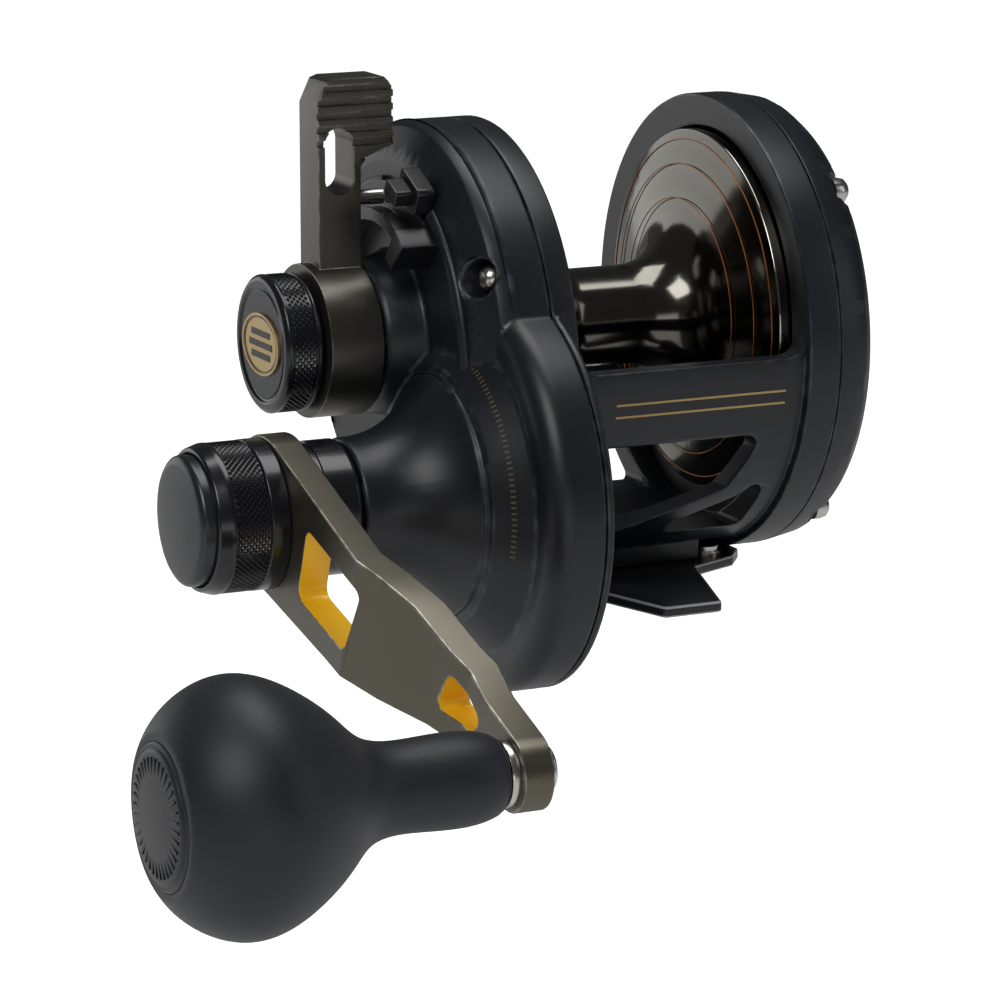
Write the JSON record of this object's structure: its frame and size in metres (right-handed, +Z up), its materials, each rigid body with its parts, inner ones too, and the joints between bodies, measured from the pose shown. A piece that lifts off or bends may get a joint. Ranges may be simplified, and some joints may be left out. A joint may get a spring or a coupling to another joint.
{
  "type": "trolling fishing reel",
  "caption": "Two-speed lever-drag trolling reel with a cranked power handle, pear-shaped grip, open-topped frame and rod foot.",
  "frame": {"origin": "middle of the foot's underside, where it rests on the rod seat", "axes": "+X along the spool axis to the tail side, -X the handle side, -Y toward the rod tip, +Z up away from the rod"},
  "size_m": [0.1312, 0.133, 0.0948],
  "materials": {
    "black_casting": "satin black anodised",
    "black_satin": "satin black anodised",
    "gunmetal": "satin gunmetal anodised",
    "gunmetal_arm": "satin gunmetal anodised with gold window walls",
    "polished_spool": "polished smoked anodised",
    "steel": "bright stainless",
    "gear_steel": "machined",
    "brass": "machined",
    "grip_foam": "soft matte",
    "black_plastic": "matte",
    "badge_gold": "satin",
    "drag_fibre": "woven fibre"
  },
  "bodies": {
    "frame_body": {"frame": "black_casting", "reel_foot": "black_satin", "foot_screws": "steel", "clamp_nuts": "steel", "gearcase_cover": "black_casting", "cover_screws": "steel", "tail_plate": "black_casting", "tail_screws": "steel", "tail_bush": "brass", "pinion_bearings": "steel", "drive_bearing": "steel", "pawl_pin": "steel", "lever_quadrant": "black_satin", "strike_housing": "black_plastic"},
    "handle": {"handle_arm": "gunmetal_arm", "drive_shaft": "steel", "handle_sleeve": "black_satin", "handle_collar": "black_satin", "high_gear": "gear_steel", "ratchet": "gear_steel", "knob_bolt": "steel", "knob_washer": "steel"},
    "selector": {"shift_button": "gunmetal", "shift_rod": "steel", "shift_spring": "steel"},
    "low_gear_body": {"low_gear": "gear_steel"},
    "knob": {"grip": "grip_foam", "grip_bushes": "brass", "grip_medallion": "grip_foam"},
    "pinion_body": {"pinion": "gear_steel", "drag_plate": "steel"},
    "shaft_body": {"spool_shaft": "steel", "drag_springs": "steel", "return_spring": "steel"},
    "spool_body": {"spool": "polished_spool", "spool_bearings": "steel", "drag_washer": "drag_fibre", "click_wheel": "brass"},
    "lever_body": {"drag_lever": "gunmetal", "lever_pin": "steel", "lever_cam": "steel"},
    "preset_body": {"preset_knob": "black_satin", "preset_badge": "badge_gold"},
    "strike_body": {"strike_button": "black_plastic"},
    "pawl_body": {"pawl": "gear_steel"},
    "click_body": {"click_slider": "black_plastic", "click_tongue": "steel"}
  },
  "joints": [
    {"name": "handle_spin", "type": "hinge", "parent": "frame_body", "child": "handle", "pos_m": [-0.04, -0.019, 0.0169], "axis": [1, 0, 0], "continuous": true},
    {"name": "shift_push", "type": "slide", "parent": "handle", "child": "selector", "axis": [1, 0, 0], "range_m": [0, 0.003], "stiffness_N_per_m": 300, "springref_m": -0.002, "deforming": ["shift_spring"]},
    {"name": "knob_spin", "type": "hinge", "parent": "handle", "child": "knob", "pos_m": [-0.07, -0.08137, -0.0047], "axis": [1, 0, 0], "continuous": true},
    {"name": "low_gear_spin", "type": "hinge", "parent": "frame_body", "child": "low_gear_body", "pos_m": [-0.021, -0.019, 0.0169], "axis": [1, 0, 0], "continuous": true},
    {"name": "pinion_spin", "type": "hinge", "parent": "frame_body", "child": "pinion_body", "pos_m": [-0.021, 0, 0.0365], "axis": [1, 0, 0], "continuous": true},
    {"name": "lever_swing", "type": "hinge", "parent": "frame_body", "child": "lever_body", "pos_m": [-0.04, 0, 0.0365], "axis": [1, 0, 0], "range_deg": [-60, 30]},
    {"name": "shaft_slide", "type": "slide", "parent": "frame_body", "child": "shaft_body", "axis": [-1, 0, 0], "range_m": [-0.0003, 0.00015]},
    {"name": "spool_spin", "type": "hinge", "parent": "shaft_body", "child": "spool_body", "pos_m": [0.0019, 0, 0.0365], "axis": [1, 0, 0], "continuous": true},
    {"name": "preset_turn", "type": "hinge", "parent": "shaft_body", "child": "preset_body", "pos_m": [-0.047, 0, 0.0365], "axis": [1, 0, 0], "range_deg": [-180, 180]},
    {"name": "strike_push", "type": "slide", "parent": "frame_body", "child": "strike_body", "axis": [1, 0, 0], "range_m": [0, 0.0012], "stiffness_N_per_m": 400, "springref_m": -0.001},
    {"name": "pawl_swing", "type": "hinge", "parent": "frame_body", "child": "pawl_body", "pos_m": [-0.027, -0.01137, 0.02537], "axis": [1, 0, 0], "range_deg": [0, 14], "stiffness_Nm_per_rad": 0.004, "springref_deg": -5.73},
    {"name": "click_slide", "type": "slide", "parent": "frame_body", "child": "click_body", "axis": [0, 0, 1], "range_m": [0, 0.003]}
  ],
  "couplings": [
    {"joint": "low_gear_spin", "follows": "handle_spin", "ratio": 2.0294},
    {"joint": "pinion_spin", "follows": "handle_spin", "ratio": -6},
    {"joint": "spool_spin", "follows": "handle_spin", "ratio": -6},
    {"joint": "lever_swing", "follows": "shaft_slide", "rad_per_m": 3490.7}
  ]
}
